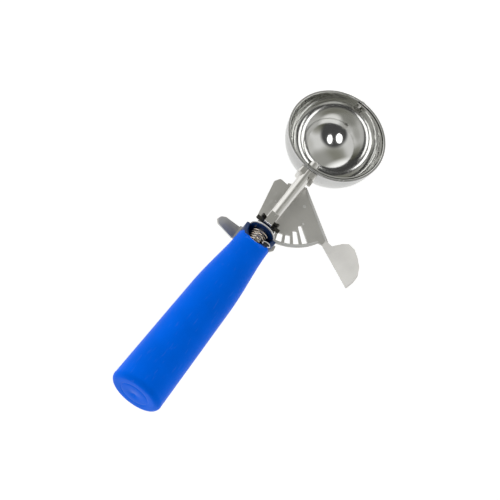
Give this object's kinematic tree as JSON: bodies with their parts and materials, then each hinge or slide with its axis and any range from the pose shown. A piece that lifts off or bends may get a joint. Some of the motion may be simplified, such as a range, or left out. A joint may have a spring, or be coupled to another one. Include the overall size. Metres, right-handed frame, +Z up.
{
  "type": "lever ice cream scoop",
  "caption": "Thumb-lever ice cream scoop with a moulded grip, round bowl, toothed lever sector, pinion rod and sweeping ejector blade.",
  "frame": {"origin": "centre of the flat butt face of the handle", "axes": "+X along the rod from the handle to the bowl, +Z up out of the bowl's mouth, thumb tab on the -Y side"},
  "size_m": [0.2357, 0.0879, 0.0447],
  "materials": {
    "handle_plastic": "glossy moulded royal blue",
    "steel": "bright drawn stainless",
    "stamped_steel": "satin stamped stainless",
    "polished_steel": "mirror polished inside, satin outside",
    "dark_steel": "dark, shadowed gear steel",
    "spring_steel": "drawn spring wire",
    "bush": "turned bearing metal"
  },
  "bodies": {
    "frame": {"handle": "handle_plastic", "tang_tube": "steel", "shank_tube": "steel", "rear_bush": "bush", "mouth_bush": "bush", "front_bush": "bush", "bowl_bush": "bush", "yoke": "steel", "pivot_pad": "steel", "lever_washer": "steel", "lever_rivet": "steel", "bowl": "polished_steel", "bowl_saddle": "steel", "far_pin": "steel", "return_spring": "spring_steel", "spring_collar": "steel"},
    "lever": {"lever_plate": "stamped_steel"},
    "rotor": {"ejector_rod": "steel", "pinion": "dark_steel", "pinion_pin": "steel", "sweep_blade": "polished_steel", "blade_hub": "steel"}
  },
  "joints": [
    {"name": "lever_swing", "type": "hinge", "parent": "frame", "child": "lever", "pos_m": [0.158, 0, -0.006], "axis": [0, 0, 1], "range_deg": [-40, 0], "stiffness_Nm_per_rad": 0.3, "springref_deg": 8.59},
    {"name": "blade_spin", "type": "hinge", "parent": "frame", "child": "rotor", "pos_m": [0.131, 0, 0], "axis": [1, 0, 0], "range_deg": [0, 180], "deforming": ["return_spring"]}
  ],
  "couplings": [
    {"joint": "blade_spin", "follows": "lever_swing", "ratio": -4.5}
  ]
}
